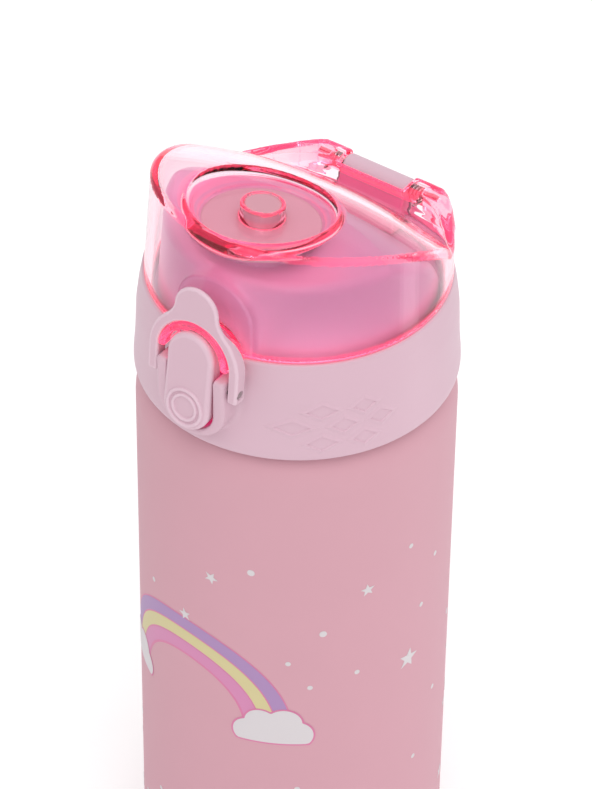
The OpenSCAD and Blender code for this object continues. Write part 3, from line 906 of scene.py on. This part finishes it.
# more of both, scattered over the back and the lower part
for _ in range(46):
    along, height = rng.uniform(68, 182), rng.uniform(14, 132)
    size, kind = rng.uniform(0.55, 0.85), rng.random()
    if any(math.hypot(along - a, height - h) < r + 3 for a, h, r in RAINBOWS):
        continue
    if kind < 0.3:
        STARS.append((along, height, 2.6 * size))
    else:
        DOTS.append((along, height, size))
for _ in range(24):
    along, height = rng.uniform(-34, 66), rng.uniform(14, 62)
    DOTS.append((along, height, rng.uniform(0.55, 0.85)))

stars = [patch(a, h, star(r, rng.uniform(-30, 30))) for a, h, r in STARS]
dots = [patch(a, h, dot(r)) for a, h, r in DOTS]
bands = {"line": [], "purple": [], "yellow": [], "pink": []}
clouds, cloud_lines = [], []
BAND, BAND_STEP = 3.2, 3.55         # width of a colour, and from one colour to the next
for along, height, r in RAINBOWS:
    bands["line"].append(stripe(along, height, r + 0.35, r - 10.9, 0, 180, 0.03))
    for k, colour in enumerate(("purple", "yellow", "pink")):
        outer = r - BAND_STEP * k
        bands[colour].append(stripe(along, height, outer, outer - BAND, 0, 180))
    for side, size in ((-1, 0.95), (1, 1.1)):
        middle = along + side * (r - 4.5)
        cloud_lines.append(patch(middle, height + 0.5, cloud_outline(size, 0.4), 0.08))
        clouds.append(patch(middle, height + 0.5, cloud_outline(size), 0.11))
for name, parts, ink in (("stars", stars + dots, "white"), ("line", bands["line"], "line"),
                         ("purple", bands["purple"], "purple"),
                         ("yellow", bands["yellow"], "yellow"), ("pink", bands["pink"], "pink"),
                         ("cloud_line", cloud_lines, "line"), ("clouds", clouds, "white")):
    place(joined("print_" + name, parts, radial=True), "bottle", inks[ink], "frosted_body")


# ---------------------------------------------------------------- pins, springs and gasket

def hinge_spring(side):
    """Torsion spring on the hinge pin, with one leg down to the collar and one under the lid."""
    turned_deg = 1010
    a = np.radians(180 - np.linspace(0, turned_deg, 270))
    xs = side * np.linspace(9.2, 11.5, len(a))
    coil = np.stack([xs, HINGE_Y + SPRING_COIL_R * np.cos(a), HINGE_Z + SPRING_COIL_R * np.sin(a)], 1)
    down = coil[0] - np.linspace(5.2, 0.3, 8)[:, None] * [0, 0, 1]
    end = rad(180 - turned_deg)
    out = coil[-1] + np.linspace(0.3, 3.6, 8)[:, None] * [0, math.sin(end), -math.cos(end)]
    return np.concatenate([down, coil, out])


for name, side in (("spring_left", -1), ("spring_right", 1)):
    wire = swept(name, hinge_spring(side), SPRING_WIRE_R, (1, 0, 0))
    place(wire, "cap", steel, "steel", "hinge_" + name)

a = np.linspace(0, 6 * math.pi, 150)
path = np.stack([SPRING_COIL_R * np.cos(a), np.linspace(-37.45, -33.35, len(a)),
                 SPRING_Z + SPRING_COIL_R * np.sin(a)], 1)
wire = swept("rest_spring", path, SPRING_WIRE_R, (0, 1, 0))
place(wire, "cap", steel, "steel", "button_spring")

for name, mat in (("hinge_pin", steel), ("latch_pin", steel), ("neck_gasket", gasket_mat)):
    paint(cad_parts[name], mat)


# ---------------------------------------------------------------- stage, light and camera

# The stage and the lights are placed in metres.
FLOOR_SIZE = 40.0
floor_mat = bpy.data.materials.new("floor_white")
floor_mat.use_nodes = True
floor_bsdf = floor_mat.node_tree.nodes["Principled BSDF"]
for key, value in (("Base Color", (0.9, 0.9, 0.9, 1)), ("Roughness", 0.9),
                   ("Specular IOR Level", 0.1), ("Emission Color", (1, 1, 1, 1)),
                   ("Emission Strength", 0.14)):
    floor_bsdf.inputs[key].default_value = value
s = FLOOR_SIZE / 2
floor_mesh = bpy.data.meshes.new("floor")
floor_mesh.from_pydata([(-s, -s, 0), (s, -s, 0), (s, s, 0), (-s, s, 0)], [], [(0, 1, 2, 3)])
floor = linked("floor", floor_mesh)
floor.data.materials.append(floor_mat)

world = bpy.data.worlds.new("studio")
bpy.context.scene.world = world
world.use_nodes = True


AZIMUTH, ELEVATION, ROLL = rad(34.7), rad(40.71), rad(0.693)
FOCAL_MM, DISTANCE = 184.9, 882.0
AIM_DROP, AIM_LEFT = 11.66, 0.16    # millimetres from the collar's bottom on the axis
across = Vector((math.cos(AZIMUTH), math.sin(AZIMUTH), 0))
back = Vector((math.sin(AZIMUTH) * math.cos(ELEVATION), -math.cos(AZIMUTH) * math.cos(ELEVATION),
               math.sin(ELEVATION)))
up = back.cross(across)
right = math.cos(ROLL) * across + math.sin(ROLL) * up
top = -math.sin(ROLL) * across + math.cos(ROLL) * up
target = (Vector((0, 0, COLLAR_Z - AIM_DROP)) - AIM_LEFT * across) * MM
cam_data = bpy.data.cameras.new("camera")
cam_data.lens = FOCAL_MM
cam_data.sensor_width = 36
cam_data.sensor_fit = "AUTO"
cam_data.clip_start, cam_data.clip_end = 0.05, 20
cam = linked("camera", cam_data)
cam.matrix_world = Matrix.Translation(target + DISTANCE * MM * back) @ Matrix(
    (right, top, back)).transposed().to_4x4()
bpy.context.scene.camera = cam

# The studio is brighter overhead than round the sides, and a little darker on the left.
nt = world.node_tree
sky = nt.nodes.new("ShaderNodeTexCoord")
height = nt.nodes.new("ShaderNodeSeparateXYZ")
nt.links.new(sky.outputs["Generated"], height.inputs["Vector"])
over = remap(nt, height.outputs["Z"], To_Min=0.45, To_Max=1.25)
side = nt.nodes.new("ShaderNodeVectorMath")
side.operation = "DOT_PRODUCT"
side.inputs[1].default_value = across
nt.links.new(sky.outputs["Generated"], side.inputs[0])
dim = remap(nt, side.outputs["Value"], From_Min=-1.0, From_Max=0.4, To_Min=0.72, To_Max=0.94)
level = nt.nodes.new("ShaderNodeMath")
level.operation = "MULTIPLY"
nt.links.new(over, level.inputs[0])
nt.links.new(dim, level.inputs[1])
nt.nodes["Background"].inputs["Color"].default_value = (1, 1, 1, 1)
nt.links.new(level.outputs["Value"], nt.nodes["Background"].inputs["Strength"])


def softbox(name, at, aim, width, height, watts):
    """White card of light at a place, turned towards a point."""
    data = bpy.data.lights.new(name, "AREA")
    data.shape = "RECTANGLE"
    data.size, data.size_y = width, height
    data.energy = watts
    ob = linked(name, data)
    ob.location = at
    ob.rotation_euler = (Vector(aim) - Vector(at)).to_track_quat("-Z", "Y").to_euler()


AIM = (0, 0, 0.15)
softbox("key", target + back * 1.1 + Vector((0, 0, 0.5)), AIM, 0.9, 0.9, 6.9)
softbox("left", target - across * 1.1 + back * 0.5 + Vector((0, 0, 0.5)), AIM, 0.5, 1.0, 0.3)
softbox("right", target + across * 1.1 + back * 0.4 + Vector((0, 0, 0.4)), AIM, 0.5, 1.0, 0.25)
softbox("back_card", (-0.27, 0.45, 0.25), (0, 0, 0.2), 0.9, 0.5, 0.45)
softbox("strip", across * 0.33 + Vector((-0.1, -0.1, 0.1)), AIM, 0.05, 0.2, 0.03)

scene = bpy.context.scene
scene.view_settings.view_transform = "Standard"
scene.view_settings.look = "None"
# enough for light to get through both walls of the lid
CLEAR_BOUNCES = 40
scene.cycles.max_bounces = CLEAR_BOUNCES
scene.cycles.transmission_bounces = CLEAR_BOUNCES
